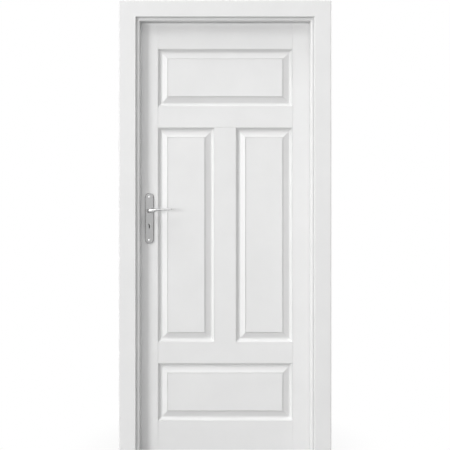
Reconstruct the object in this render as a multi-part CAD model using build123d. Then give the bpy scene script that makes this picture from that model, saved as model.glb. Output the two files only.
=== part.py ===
from build123d import *
import os
from math import cos, radians, sin

# A panelled timber door leaf hung in its lined frame, closed and latched.
# +X points to the hinge side, +Y to the side the leaf swings to, +Z up. The origin
# is on the floor, midway between the jambs and midway through the whole depth.

# Opening and wall
clear_width = 806.0
clear_height = 2045.0
wall_thickness = 75.0

# Frame boards: lining boards with a glued stop strip, casings on both wall faces
lining_thickness = 18.0
stop_projection = 12.0
lining_setback = 2.0
stop_arris_radius = 2.0
jamb_edge_radius = 7.0
casing_width = 80.0
casing_thickness = 14.0
casing_setback = 17.0
casing_arris_radius = 4.0
casing_tongue_inset = 3.0
casing_tongue_thickness = 6.0
casing_tongue_length = 10.0
rear_casing_thickness = 12.0
rear_tongue_thickness = 5.0
rear_tongue_length = 7.0
mitre_dowel_radius = 3.0
mitre_dowel_length = 12.0
mitre_dowel_front_distance = 38.0
mitre_dowel_rear_distance = 26.0
joint_clearance = 0.2
groove_end_room = 1.0
casing_bearing_gap = 0.3

# Sealing strip in the rebate
seal_inset = 2.0
seal_width = 6.0
seal_leg_thickness = 2.6
seal_leg_length = 7.0
seal_contact_gap = 0.3

# Leaf and the gaps round it
leaf_thickness = 40.0
leaf_gap = 3.0
stop_gap = 3.0
floor_gap = 6.0

# Face layout of the leaf, measured between the moulding lines
stile_face = 90.5
muntin_face = 101.5
bottom_rail_face = 139.0
cross_rail_face = 100.5
top_rail_face = 134.5
short_panel_sight = 274.5

# Moulding run on the inner edges of the leaf's members, and the panel groove
moulding_width = 18.0
moulding_depth = 11.0
moulding_foot = 10.0
quirk_depth = 1.2
groove_depth = 10.0

# Raised and fielded panels
panel_tongue_thickness = 12.0
panel_room = 2.0
bevel_width = 32.0
bevel_foot_drop = 12.4
field_drop = 0.8
field_step = 1.0

# Dowels that pin the rails to the stiles and the muntin to the rails
dowel_radius = 5.0
dowel_length = 80.0
dowel_spacing = 50.0
muntin_dowel_length = 60.0
muntin_dowel_spacing = 44.0
dowel_clearance = 0.1

# Butt hinges
hinge_length = 100.0
hinge_plate_width = 30.0
hinge_plate_thickness = 2.5
hinge_low_height = 275.0
hinge_top_distance = 230.0
knuckle_radius = 5.5
knuckle_gap = 0.3
plate_relief = 0.5
pin_radius = 3.0
pin_fit = 0.02
running_clearance = 0.05
pin_head_radius = 4.6
pin_head_height = 2.5
pin_head_arris_radius = 1.5
hinge_screw_spacing = 34.0
hinge_screw_stagger = 5.0
hinge_screw_centre = 17.5

# Countersunk wood screws of the hinges, the forend and the strike plate
screw_head_radius = 4.0
screw_head_height = 2.0
screw_shank_radius = 2.0
screw_length = 15.0

# Mortise lock
backset = 50.0
spindle_height = 1147.0
key_distance = 72.0
forend_width = 20.0
forend_length = 235.0
forend_thickness = 3.0
forend_screw_spacing = 210.0
case_depth = 72.0
case_height = 165.0
case_thickness = 16.0
case_wall = 1.5
case_above_spindle = 46.0
case_clearance = 0.5
bolt_clearance = 0.2
latch_height = 16.0
latch_thickness = 11.0
latch_throw = 12.3
latch_nose_flat = 2.5
latch_rise = 22.0
latch_head_length = 16.0
latch_tail_height = 8.0
latch_tail_thickness = 2.5
latch_lug_thickness = 3.0
latch_lug_gap = 0.6
dead_bolt_height = 32.0
dead_bolt_thickness = 8.0
dead_bolt_throw = 15.0
dead_bolt_length = 30.0
dead_bolt_drop = 43.0
dead_bolt_tail_length = 10.0
dead_bolt_tail_height = 14.0
talon_radius = 5.0
follower_radius = 9.0
follower_cam_radius = 12.0
follower_arm_thickness = 4.0
follower_arm_width = 6.0
lever_turn = 40.0
spring_thickness = 0.6
spring_height = 6.0
spring_seat_gap = 0.3

# Strike plate and the pockets behind it
strike_width = 24.0
strike_length = 160.0
strike_thickness = 2.0
strike_screw_edge = 9.0
keep_clearance = 2.0
keep_depth = 14.0

# Lever furniture on both faces of the leaf
plate_length = 238.0
plate_width = 40.0
plate_thickness = 7.0
plate_corner_radius = 17.0
plate_arris_radius = 2.5
plate_screw_spacing = 206.0
plate_screw_head_radius = 4.5
plate_screw_head_height = 2.5
plate_screw_radius = 2.0
sleeve_radius = 3.4
sleeve_length = 24.0
keyhole_radius = 4.5
keyhole_slot_width = 5.2
keyhole_height = 22.0
key_passage_width = 10.0
key_passage_height = 26.0
bush_radius = 11.5
bush_flange_radius = 13.5
bush_flange_thickness = 1.0
neck_radius = 8.5
lever_projection = 58.0
lever_length = 112.0
lever_bend_radius = 14.0
grip_start = 45.0
grip_depth = 13.0
grip_height = 9.0
grip_rise = 4.0
tip_depth = 11.0
tip_height = 8.0
tip_rise = 3.0
grip_end_radius = 2.0
spindle_side = 8.0
spindle_fit = 0.05
spindle_reach = 24.0
spindle_bore_radius = 10.0
grub_screw_radius = 2.5
grub_screw_setting = 6.0

# One overrun serves all cuts
cut_over = 5.0

# Depths along Y, from the front casing face to the rear lever
total_depth = casing_thickness + wall_thickness + rear_casing_thickness + lever_projection
front_face_y = -total_depth / 2
wall_front_y = front_face_y + casing_thickness
wall_rear_y = wall_front_y + wall_thickness
rear_face_y = wall_rear_y + rear_casing_thickness
leaf_front_y = rear_face_y - leaf_thickness
leaf_mid_y = rear_face_y - leaf_thickness / 2
stop_y = leaf_front_y - stop_gap

# Widths along X and heights along Z
clear_half = clear_width / 2
rebate_half = clear_half + stop_projection
leaf_half = rebate_half - leaf_gap
sight_half = leaf_half - stile_face
jamb_thickness = stop_projection + lining_thickness
frame_reach = casing_setback + casing_width
leaf_top_z = clear_height + stop_projection - leaf_gap
leaf_bottom_z = floor_gap
bottom_panel_z = leaf_bottom_z + bottom_rail_face
lower_rail_z = bottom_panel_z + short_panel_sight
tall_panel_z = lower_rail_z + cross_rail_face
top_rail_z = leaf_top_z - top_rail_face
top_panel_z = top_rail_z - short_panel_sight
upper_rail_z = top_panel_z - cross_rail_face

# Lock places
spindle_x = -leaf_half + backset
key_z = spindle_height - key_distance
plate_mid_z = (spindle_height + key_z) / 2
case_top_z = spindle_height + case_above_spindle
case_bottom_z = case_top_z - case_height
case_mid_z = (case_top_z + case_bottom_z) / 2
case_front_x = -leaf_half + forend_thickness
latch_z = spindle_height + latch_rise
dead_bolt_z = spindle_height - dead_bolt_drop
forend_mid_z = case_mid_z
strike_mid_z = (latch_z + dead_bolt_z) / 2
hinge_x = leaf_half + leaf_gap / 2
hinge_y = rear_face_y + knuckle_radius
hinge_top_z = leaf_top_z - hinge_top_distance
hinge_heights = {
    "lower": hinge_low_height,
    "middle": (hinge_low_height + hinge_top_z) / 2,
    "upper": hinge_top_z,
}

mitre = Plane(origin=(clear_half, 0, clear_height), z_dir=(-1, 0, 1))
mitre_opposite = Plane(origin=(-clear_half, 0, clear_height), z_dir=(1, 0, 1))
# Sections for level members are drawn with height first and depth second
level_plane = Plane(origin=(0, 0, 0), x_dir=(0, 0, 1), z_dir=(-1, 0, 0))


def block(x0, x1, y0, y1, z0, z1):
    """A box between two corners."""
    centre = Pos((x0 + x1) / 2, (y0 + y1) / 2, (z0 + z1) / 2)
    return centre * Box(abs(x1 - x0), abs(y1 - y0), abs(z1 - z0))


def rod(start, direction, radius, length):
    """A round bar from a start point along a direction."""
    seat = Plane(origin=start, z_dir=direction)
    return seat * Cylinder(radius, length, align=(Align.CENTER, Align.CENTER, Align.MIN))


def outline(points):
    """A face through the points; one with four numbers is reached by an arc through its second pair."""
    edges = []
    for start, end in zip(points, points[1:] + points[:1]):
        if len(end) == 2:
            edges.append(Line(start[:2], end))
        else:
            edges.append(ThreePointArc(start[:2], end[2:], end[:2]))
    return make_face(edges)


def eased(face, corners):
    """The face with each corner (first, second, radius) rounded."""
    for first, second, radius in corners:
        corner = face.vertices().sort_by_distance(Vector(first, second, 0))[0]
        face = fillet(corner, radius)
    return face


def upright(face, low, high):
    """A face drawn in plan, carried up from one height to another."""
    return Pos(0, 0, low) * extrude(face, high - low, dir=(0, 0, 1))


def level(face, half_length):
    """A face drawn in height and depth, carried along X to both sides."""
    return extrude(level_plane * face, half_length, dir=(1, 0, 0), both=True)


def countersunk(at, direction, head_radius, head_height, shank_radius, length):
    """A countersunk screw with its head's face at a point, driven along a direction."""
    low = (Align.CENTER, Align.CENTER, Align.MIN)
    head = Cone(head_radius, shank_radius, head_height, align=low)
    shank = Cylinder(shank_radius, length, align=low)
    return Plane(origin=at, z_dir=direction) * (head + shank)


def wood_screw(at, direction):
    return countersunk(
        at, direction, screw_head_radius, screw_head_height, screw_shank_radius, screw_length
    )


# Frame boards


def lining_section(inner):
    """Lining board, set back a little behind its stop strip, with grooves for the casings' tongues."""
    front = wall_front_y + lining_setback
    near = inner + stop_projection
    outer = inner + jamb_thickness
    tongue_near = inner + casing_setback + casing_tongue_inset - joint_clearance
    tongue_far = tongue_near + casing_tongue_thickness + 2 * joint_clearance
    tongue_end = wall_front_y + casing_tongue_length + groove_end_room
    rear_stop = wall_rear_y + rear_tongue_thickness + 2 * joint_clearance
    rear_bed = outer - rear_tongue_length - groove_end_room
    points = [
        (near, front),
        (tongue_near, front),
        (tongue_near, tongue_end),
        (tongue_far, tongue_end),
        (tongue_far, front),
        (outer, front),
        (outer, wall_rear_y),
        (rear_bed, wall_rear_y),
        (rear_bed, rear_stop),
        (outer, rear_stop),
        (outer, rear_face_y),
        (near, rear_face_y),
    ]
    return outline(points)


def stop_section(inner):
    """Stop strip glued to the lining: a rounded front edge and the seal's groove behind."""
    far = inner + stop_projection
    leg_mid = inner + seal_inset + seal_width / 2
    leg_near = leg_mid - seal_leg_thickness / 2 - joint_clearance
    leg_far = leg_mid + seal_leg_thickness / 2 + joint_clearance
    leg_end = stop_y - seal_leg_length - groove_end_room
    points = [
        (inner, wall_front_y),
        (far, wall_front_y),
        (far, stop_y),
        (leg_far, stop_y),
        (leg_far, leg_end),
        (leg_near, leg_end),
        (leg_near, stop_y),
        (inner, stop_y),
    ]
    corners = [(inner, wall_front_y, jamb_edge_radius), (inner, stop_y, stop_arris_radius)]
    return eased(outline(points), corners)


def front_casing_section(inner):
    """Flat casing with eased front edges; it bears on the wall, and its tongue slides in the lining."""
    near = inner + casing_setback
    far = inner + frame_reach
    tongue_near = near + casing_tongue_inset
    tongue_far = tongue_near + casing_tongue_thickness
    tongue_end = wall_front_y + casing_tongue_length
    bearing = inner + jamb_thickness + joint_clearance
    relief_y = wall_front_y - casing_bearing_gap
    points = [
        (near, front_face_y),
        (far, front_face_y),
        (far, wall_front_y),
        (bearing, wall_front_y),
        (bearing, relief_y),
        (tongue_far, relief_y),
        (tongue_far, tongue_end),
        (tongue_near, tongue_end),
        (tongue_near, relief_y),
        (near, relief_y),
    ]
    corners = [(near, front_face_y, casing_arris_radius), (far, front_face_y, casing_arris_radius)]
    return eased(outline(points), corners)


def rear_casing_section(inner):
    """Casing of the hinge face, flush with the lining's edge and tongued into its back."""
    near = inner + jamb_thickness
    far = inner + frame_reach
    tongue_end = near - rear_tongue_length
    tongue_front = wall_rear_y + joint_clearance
    tongue_rear = tongue_front + rear_tongue_thickness
    points = [
        (near, wall_rear_y),
        (far, wall_rear_y),
        (far, rear_face_y),
        (near, rear_face_y),
        (near, tongue_rear),
        (tongue_end, tongue_rear),
        (tongue_end, tongue_front),
        (near, tongue_front),
    ]
    return eased(outline(points), [(far, rear_face_y, casing_arris_radius)])


def seal_section(inner):
    """Rubber strip: a leg pressed into the lining's groove and a round-backed lip to the leaf."""
    near = inner + seal_inset
    far = near + seal_width
    mid = (near + far) / 2
    leg_half = seal_leg_thickness / 2
    lip_y = leaf_front_y - seal_contact_gap
    lip_mid_y = (stop_y + lip_y) / 2
    points = [
        (near, stop_y),
        (mid - leg_half, stop_y),
        (mid - leg_half, stop_y - seal_leg_length),
        (mid + leg_half, stop_y - seal_leg_length),
        (mid + leg_half, stop_y),
        (far, stop_y),
        (far, lip_mid_y),
        (near, lip_mid_y, mid, lip_y),
    ]
    return outline(points)


def frame_set(section):
    """Latch side, hinge side and head of one frame section, mitred where they meet."""
    upright_board = upright(section(clear_half), 0, clear_height + frame_reach)
    hinge_side = split(upright_board, mitre, keep=Keep.BOTTOM)
    latch_side = mirror(hinge_side, Plane.YZ)
    head = level(section(clear_height), clear_half + frame_reach)
    head = split(head, mitre, keep=Keep.TOP)
    head = split(head, mitre_opposite, keep=Keep.TOP)
    return latch_side, hinge_side, head


def mitre_dowels(clearance):
    """Short dowels square to the mitre faces of the lining, two at each corner."""
    radius = mitre_dowel_radius + clearance
    length = mitre_dowel_length + 2 * clearance
    reach = stop_projection + lining_thickness / 2
    depths = (wall_front_y + mitre_dowel_front_distance, rear_face_y - mitre_dowel_rear_distance)
    pins = []
    for depth in depths:
        corner = Plane(
            origin=(clear_half + reach, depth, clear_height + reach), z_dir=mitre.z_dir
        )
        pin = corner * Cylinder(radius, length)
        pins += [pin, mirror(pin, Plane.YZ)]
    return pins


# Leaf: stiles, rails, muntin and panels


def moulded_edge(line, inward):
    """A moulded edge from the rear face to the front: quirk, cove, foot and panel groove.

    line is the moulding line across the member, inward is 1 or -1 towards the panel.
    """
    half = leaf_thickness / 2
    groove_half = panel_tongue_thickness / 2 + joint_clearance
    cove_width = moulding_width - moulding_foot
    cove_depth = moulding_depth - quirk_depth
    # The cove is an arc that runs out level into the foot
    cove_radius = (cove_width**2 + cove_depth**2) / (2 * cove_depth)
    start = Vector(-cove_width, cove_depth - cove_radius)
    middle = (start + Vector(0, -cove_radius)).normalized() * cove_radius
    rise = half - moulding_depth
    cove_mid = line + inward * (cove_width + middle.X)
    cove_mid_rise = rise + cove_radius + middle.Y
    foot = line + inward * cove_width
    edge = line + inward * moulding_width
    bed = edge - inward * groove_depth
    return [
        (line, leaf_mid_y + half),
        (line, leaf_mid_y + half - quirk_depth),
        (foot, leaf_mid_y + rise, cove_mid, leaf_mid_y + cove_mid_rise),
        (edge, leaf_mid_y + rise),
        (edge, leaf_mid_y + groove_half),
        (bed, leaf_mid_y + groove_half),
        (bed, leaf_mid_y - groove_half),
        (edge, leaf_mid_y - groove_half),
        (edge, leaf_mid_y - rise),
        (foot, leaf_mid_y - rise),
        (line, leaf_mid_y - half + quirk_depth, cove_mid, leaf_mid_y - cove_mid_rise),
        (line, leaf_mid_y - half),
    ]


def plain_edge(line):
    """A square edge from the rear face to the front."""
    return [(line, leaf_mid_y + leaf_thickness / 2), (line, leaf_mid_y - leaf_thickness / 2)]


def reversed_run(points):
    """The same run walked the other way, with each arc's middle kept on its arc."""
    walked = [points[-1][:2]]
    for here, after in zip(points[-2::-1], points[:0:-1]):
        walked.append(here[:2] + after[2:])
    return walked


def member_section(first, second):
    """A member's section between two edges, each given from the rear face to the front."""
    return outline(first + reversed_run(second))


def stile(side):
    """A full-height stile, moulded on its inner edge; side is 1 at the hinges and -1 at the lock."""
    face = member_section(plain_edge(side * leaf_half), moulded_edge(side * sight_half, -side))
    return upright(face, leaf_bottom_z, leaf_top_z)


def rail(low, high, moulded_low, moulded_high):
    """A rail as long as the gap between the moulding lines, before its ends are scribed."""
    low_edge = moulded_edge(low, -1) if moulded_low else plain_edge(low)
    high_edge = moulded_edge(high, 1) if moulded_high else plain_edge(high)
    return level(member_section(low_edge, high_edge), sight_half)


def muntin():
    half = muntin_face / 2
    face = member_section(moulded_edge(-half, -1), moulded_edge(half, 1))
    return upright(face, tall_panel_z, upper_rail_z)


def raised_panel(x0, x1, z0, z1):
    """A raised and fielded panel between moulding lines: tongue, bevels and a stepped flat field."""
    mid = Plane(
        origin=((x0 + x1) / 2, leaf_mid_y, (z0 + z1) / 2), x_dir=(1, 0, 0), z_dir=(0, -1, 0)
    )
    half = leaf_thickness / 2
    wide = x1 - x0 - 2 * (moulding_width + joint_clearance)
    high = z1 - z0 - 2 * (moulding_width + joint_clearance)
    tongue = 2 * (groove_depth + joint_clearance - panel_room)
    foot = half - bevel_foot_drop
    shoulder = half - field_drop - field_step
    core = Box(wide, high, 2 * foot) + Box(wide + tongue, high + tongue, panel_tongue_thickness)
    field = (wide - 2 * bevel_width, high - 2 * bevel_width)
    slope = loft([Pos(0, 0, foot) * Rectangle(wide, high), Pos(0, 0, shoulder) * Rectangle(*field)])
    centre = Box(*field, 2 * (shoulder + field_step))
    return mid * (core + slope + mirror(slope, Plane.XY) + centre)


def dowel_places():
    """Start point, direction and length of every dowel in the leaf."""
    places = []
    spans = (
        (leaf_bottom_z, bottom_panel_z),
        (lower_rail_z, tall_panel_z),
        (upper_rail_z, top_panel_z),
        (top_rail_z, leaf_top_z),
    )
    for low, high in spans:
        for offset in (-dowel_spacing / 2, dowel_spacing / 2):
            for side in (-1, 1):
                start = side * (sight_half - dowel_length / 2)
                height = (low + high) / 2 + offset
                places.append(((start, leaf_mid_y, height), (side, 0, 0), dowel_length))
    for height in (tall_panel_z, upper_rail_z):
        for offset in (-muntin_dowel_spacing / 2, muntin_dowel_spacing / 2):
            start = (offset, leaf_mid_y, height - muntin_dowel_length / 2)
            places.append((start, (0, 0, 1), muntin_dowel_length))
    return places


def leaf_dowels(clearance):
    dowels = []
    for start, direction, length in dowel_places():
        pulled_back = Vector(start) - clearance * Vector(direction)
        dowels.append(rod(pulled_back, direction, dowel_radius + clearance, length + 2 * clearance))
    return dowels


# Hinges


def knuckle_spans(height):
    """Height ranges of the frame plate's two outer knuckles and the leaf plate's middle one."""
    low = height - hinge_length / 2
    third = hinge_length / 3
    frame_spans = [(low, low + third), (low + 2 * third, low + hinge_length)]
    leaf_spans = [(low + third + knuckle_gap, low + 2 * third - knuckle_gap)]
    return frame_spans, leaf_spans


def plate_screws_at(height, side):
    """Screws of one hinge plate; side is 1 in the jamb and -1 in the leaf's edge."""
    seat_x = rebate_half if side > 0 else leaf_half
    centre_y = rear_face_y - hinge_screw_centre
    offsets = (-hinge_screw_spacing, 0, hinge_screw_spacing)
    staggers = (hinge_screw_stagger, -hinge_screw_stagger, hinge_screw_stagger)
    return [
        wood_screw((seat_x, centre_y - stagger / 2, height + offset), (side, 0, 0))
        for offset, stagger in zip(offsets, staggers)
    ]


def hinge_seat(height, side):
    """The plate's full block, which is also the recess cut for it."""
    seat_x = rebate_half if side > 0 else leaf_half
    back_x = seat_x + side * hinge_plate_thickness
    low = height - hinge_length / 2
    return block(
        seat_x, back_x, rear_face_y - hinge_plate_width, rear_face_y, low, low + hinge_length
    )


def hinge_plate(height, side, spans, bore_radius):
    """A flat plate with its knuckles, drilled for its screws and its pin."""
    seat_x = rebate_half if side > 0 else leaf_half
    back_x = seat_x + side * hinge_plate_thickness
    low = height - hinge_length / 2
    plate = block(
        seat_x,
        back_x,
        rear_face_y - hinge_plate_width,
        rear_face_y - plate_relief,
        low,
        low + hinge_length,
    )
    for start, end in spans:
        plate += block(seat_x, back_x, rear_face_y - 2 * plate_relief, hinge_y, start, end)
        plate += rod((hinge_x, hinge_y, start), (0, 0, 1), knuckle_radius, end - start)
    plate -= rod((hinge_x, hinge_y, low), (0, 0, 1), bore_radius, hinge_length)
    for screw in plate_screws_at(height, side):
        plate -= screw
    return plate


def hinge_pin(height):
    """A plain pin with a button head that rests on the top knuckle."""
    low = height - hinge_length / 2
    shank = rod((hinge_x, hinge_y, low), (0, 0, 1), pin_radius, hinge_length)
    head = rod((hinge_x, hinge_y, low + hinge_length), (0, 0, 1), pin_head_radius, pin_head_height)
    head = fillet(head.edges().group_by(Axis.Z)[-1], pin_head_arris_radius)
    return shank + head


# Mortise lock


def slot_plate(width, length, thickness, mid_z, face_x):
    """A round-ended plate standing in the leaf's edge, its face at face_x."""
    face = Plane(origin=(face_x, leaf_mid_y, mid_z), x_dir=(0, 0, 1), z_dir=(1, 0, 0))
    return extrude(face * SlotOverall(length, width), thickness, dir=(1, 0, 0))


def bolt_block(thickness, height, mid_z, x0, x1, clearance):
    """The room a bolt takes up through the forend."""
    half = thickness / 2 + clearance
    tall = height / 2 + clearance
    return block(x0, x1, leaf_mid_y - half, leaf_mid_y + half, mid_z - tall, mid_z + tall)


def forend_screws():
    seat_x = -leaf_half
    return [
        wood_screw((seat_x, leaf_mid_y, forend_mid_z + offset), (1, 0, 0))
        for offset in (-forend_screw_spacing / 2, forend_screw_spacing / 2)
    ]


def forend():
    plate = slot_plate(forend_width, forend_length, forend_thickness, forend_mid_z, -leaf_half)
    over = (-leaf_half - cut_over, case_front_x + cut_over)
    plate -= bolt_block(latch_thickness, latch_height, latch_z, *over, bolt_clearance)
    plate -= bolt_block(dead_bolt_thickness, dead_bolt_height, dead_bolt_z, *over, bolt_clearance)
    for screw in forend_screws():
        plate -= screw
    return plate


def key_slot(width, height, y0, y1):
    """A plain round-ended passage for the key, right through a depth."""
    face = Plane(origin=(spindle_x, y0, key_z), x_dir=(0, 0, 1), z_dir=(0, 1, 0))
    return extrude(face * SlotOverall(height, width), y1 - y0, dir=(0, 1, 0))


def case_walls():
    """Depths of the case's front wall face, inner faces and rear wall face."""
    front = leaf_mid_y - case_thickness / 2
    rear = leaf_mid_y + case_thickness / 2
    return front, front + case_wall, rear - case_wall, rear


def lock_case():
    """Pressed tray of the lock: back wall and four sides, open to the cover."""
    front, inner_front, inner_rear, _ = case_walls()
    far_x = case_front_x + case_depth
    tray = block(case_front_x, far_x, front, inner_rear, case_bottom_z, case_top_z)
    tray -= block(
        case_front_x + case_wall,
        far_x - case_wall,
        inner_front,
        inner_rear + cut_over,
        case_bottom_z + case_wall,
        case_top_z - case_wall,
    )
    over = (case_front_x - cut_over, case_front_x + case_wall + cut_over)
    tray -= bolt_block(latch_thickness, latch_height, latch_z, *over, bolt_clearance)
    tray -= bolt_block(dead_bolt_thickness, dead_bolt_height, dead_bolt_z, *over, bolt_clearance)
    bearing = follower_radius + running_clearance
    tray -= rod((spindle_x, front - cut_over, spindle_height), (0, 1, 0), bearing, 2 * cut_over)
    tray -= key_slot(key_passage_width, key_passage_height, front - cut_over, front + cut_over)
    return tray


def lock_cover():
    """Flat lid of the lock case."""
    _, _, inner_rear, rear = case_walls()
    far_x = case_front_x + case_depth
    lid = block(case_front_x, far_x, inner_rear, rear, case_bottom_z, case_top_z)
    bearing = follower_radius + running_clearance
    lid -= rod((spindle_x, rear - cut_over, spindle_height), (0, 1, 0), bearing, 2 * cut_over)
    lid -= key_slot(key_passage_width, key_passage_height, rear - cut_over, rear + cut_over)
    return lid


def arm_radius():
    """Length of the follower's arm that carries the latch through its throw."""
    return latch_throw / (2 * sin(radians(lever_turn / 2)))


def follower():
    """Hub on the square spindle: journals in both walls, a cam disc and the arm that draws the latch."""
    front, inner_front, inner_rear, rear = case_walls()
    hub = rod((spindle_x, front, spindle_height), (0, 1, 0), follower_radius, rear - front)
    arm_front = leaf_mid_y - follower_arm_thickness / 2
    hub += rod(
        (spindle_x, arm_front, spindle_height),
        (0, 1, 0),
        follower_cam_radius,
        follower_arm_thickness,
    )
    reach = arm_radius()
    foot = (Align.CENTER, Align.CENTER, Align.MIN)
    arm = Box(follower_arm_width, follower_arm_thickness, reach, align=foot)
    arm += Pos(0, -follower_arm_thickness / 2, reach) * rod(
        (0, 0, 0), (0, 1, 0), follower_arm_width / 2, follower_arm_thickness
    )
    hub += Pos(spindle_x, leaf_mid_y, spindle_height) * Rot(0, -lever_turn / 2, 0) * arm
    square = spindle_side + 2 * spindle_fit
    hub -= Pos(spindle_x, leaf_mid_y, spindle_height) * Box(square, 2 * case_thickness, square)
    return hub


def latch_lug_x():
    """Near face of the latch's lug, just ahead of the follower's arm."""
    tip = spindle_x - arm_radius() * sin(radians(lever_turn / 2))
    return tip + follower_arm_width / 2 + latch_lug_gap


def latch_bolt():
    """Sprung latch: a head bevelled on its closing side, a flat tail and the lug the arm pushes."""
    nose_x = -leaf_half - latch_throw
    head_end_x = case_front_x + latch_head_length
    half = latch_thickness / 2
    flat = latch_nose_flat
    points = [
        (nose_x, leaf_mid_y + half),
        (head_end_x, leaf_mid_y + half),
        (head_end_x, leaf_mid_y - half),
        (-leaf_half, leaf_mid_y - half),
        (nose_x, leaf_mid_y + half - flat),
    ]
    head = upright(outline(points), latch_z - latch_height / 2, latch_z + latch_height / 2)
    lug_x = latch_lug_x()
    lug_end_x = lug_x + latch_lug_thickness
    tail_y = leaf_mid_y + half
    tail = block(
        head_end_x - cut_over,
        lug_end_x,
        tail_y - latch_tail_thickness,
        tail_y,
        latch_z - latch_tail_height / 2,
        latch_z + latch_tail_height / 2,
    )
    arm_tip_z = spindle_height + arm_radius() * cos(radians(lever_turn / 2))
    lug = block(
        lug_x,
        lug_end_x,
        leaf_mid_y - follower_arm_thickness / 2,
        tail_y,
        arm_tip_z,
        latch_z + latch_tail_height / 2,
    )
    return head + tail + lug


def dead_bolt():
    """Square bolt drawn flush with the forend, with the notch that the key's bit turns in."""
    end_x = -leaf_half + dead_bolt_length
    half = dead_bolt_thickness / 2
    bolt = bolt_block(dead_bolt_thickness, dead_bolt_height, dead_bolt_z, -leaf_half, end_x, 0)
    top_z = dead_bolt_z + dead_bolt_height / 2
    bolt += block(
        end_x,
        end_x + dead_bolt_tail_length,
        leaf_mid_y - half / 2,
        leaf_mid_y + half / 2,
        top_z - dead_bolt_tail_height,
        top_z,
    )
    bolt -= rod(
        (end_x, leaf_mid_y - dead_bolt_thickness, top_z - dead_bolt_height),
        (0, 1, 0),
        talon_radius,
        2 * dead_bolt_thickness,
    )
    return bolt


def bowed_strip(x0, x1, mid_z, bow):
    """A flat spring bowed between two seats along X."""
    mid_x = (x0 + x1) / 2
    points = [
        (x0, mid_z),
        (x1, mid_z, mid_x, mid_z + bow),
        (x1, mid_z - spring_thickness),
        (x0, mid_z - spring_thickness, mid_x, mid_z + bow - spring_thickness),
    ]
    face = outline(points)
    seat = Plane(origin=(0, leaf_mid_y, 0), x_dir=(1, 0, 0), z_dir=(0, -1, 0))
    return extrude(seat * face, spring_height / 2, dir=(0, 1, 0), both=True)


def latch_spring():
    """Bowed strip between the latch's lug and the back of the case."""
    start_x = latch_lug_x() + latch_lug_thickness + spring_seat_gap
    end_x = case_front_x + case_depth - case_wall - spring_seat_gap
    return bowed_strip(start_x, end_x, latch_z, spring_height)


def follower_spring():
    """Bowed strip that presses the follower back to its stop, under its hub."""
    start_x = spindle_x - follower_cam_radius
    end_x = spindle_x + follower_cam_radius
    bow = spring_height
    crown = spindle_height - follower_cam_radius - spring_seat_gap
    return bowed_strip(start_x, end_x, crown - bow, bow)


def stile_cuts():
    """Everything sunk in the latch stile: lock mortise, forend recess, spindle and key ways, bolts."""
    front, _, _, rear = case_walls()
    mortise = block(
        -leaf_half - cut_over,
        case_front_x + case_depth + case_clearance,
        front - case_clearance,
        rear + case_clearance,
        case_bottom_z - case_clearance,
        case_top_z + case_clearance,
    )
    recess = slot_plate(forend_width, forend_length, forend_thickness, forend_mid_z, -leaf_half)
    through = (0, 1, 0)
    start_y = leaf_front_y - cut_over
    span = leaf_thickness + 2 * cut_over
    spindle_way = rod((spindle_x, start_y, spindle_height), through, spindle_bore_radius, span)
    key_way = key_slot(key_passage_width, key_passage_height, start_y, start_y + span)
    cuts = [mortise, recess, spindle_way, key_way] + forend_screws()
    for height in plate_screw_heights():
        cuts.append(rod((spindle_x, start_y, height), through, sleeve_radius + joint_clearance, span))
    return cuts


# Strike plate


def strike_screws():
    offset = strike_length / 2 - strike_screw_edge
    return [
        wood_screw((-rebate_half, leaf_mid_y, strike_mid_z + way * offset), (-1, 0, 0))
        for way in (-1, 1)
    ]


def strike_seat():
    """The plate's full block, which is also the recess cut for it."""
    half = strike_width / 2
    tall = strike_length / 2
    return block(
        -rebate_half - strike_thickness,
        -rebate_half,
        leaf_mid_y - half,
        leaf_mid_y + half,
        strike_mid_z - tall,
        strike_mid_z + tall,
    )


def keeps():
    """The pockets that take the latch and the dead bolt."""
    deep_x = -rebate_half - keep_depth
    out_x = -rebate_half + cut_over
    return [
        bolt_block(latch_thickness, latch_height, latch_z, deep_x, out_x, keep_clearance),
        bolt_block(
            dead_bolt_thickness, dead_bolt_height, dead_bolt_z, deep_x, out_x, keep_clearance
        ),
    ]


def strike_plate():
    plate = strike_seat()
    for cut in keeps() + strike_screws():
        plate -= cut
    return plate


# Lever furniture


def plate_screw_heights():
    return (plate_mid_z - plate_screw_spacing / 2, plate_mid_z + plate_screw_spacing / 2)


def front_plane(depth):
    """A plane on the front of the leaf that looks out to the front, at a depth."""
    return Plane(origin=(spindle_x, depth, 0), x_dir=(1, 0, 0), z_dir=(0, -1, 0))


def keyhole_face():
    """Round head and straight slot of a keyhole, about the key's height."""
    drop = keyhole_height - 2 * keyhole_radius
    head = Pos(0, key_z + drop / 2) * Circle(keyhole_radius)
    slot = Pos(0, key_z - keyhole_radius / 2) * Rectangle(keyhole_slot_width, drop + keyhole_radius)
    return head + slot


def back_plate():
    """Long plate of the front face: rounded outline and edge, lever hole, keyhole and screw holes."""
    seat = front_plane(leaf_front_y)
    face = Pos(0, plate_mid_z) * RectangleRounded(plate_width, plate_length, plate_corner_radius)
    plate = extrude(seat * face, plate_thickness, dir=(0, -1, 0))
    front_edges = plate.edges().group_by(Axis.Y)[0]
    plate = fillet(front_edges, plate_arris_radius)
    bush_hole = seat * Pos(0, spindle_height) * Circle(bush_radius)
    plate -= extrude(bush_hole, 2 * plate_thickness, dir=(0, -1, 0))
    plate -= extrude(seat * keyhole_face(), 2 * plate_thickness, dir=(0, -1, 0))
    for screw in plate_bolts():
        plate -= screw
    return plate


def plate_bolts():
    """Long countersunk bolts, put in from the front plate."""
    length = leaf_thickness / 2 + plate_thickness + sleeve_length / 2
    return [
        countersunk(
            (spindle_x, leaf_front_y - plate_thickness, height),
            (0, 1, 0),
            plate_screw_head_radius,
            plate_screw_head_height,
            plate_screw_radius,
            length,
        )
        for height in plate_screw_heights()
    ]


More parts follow.
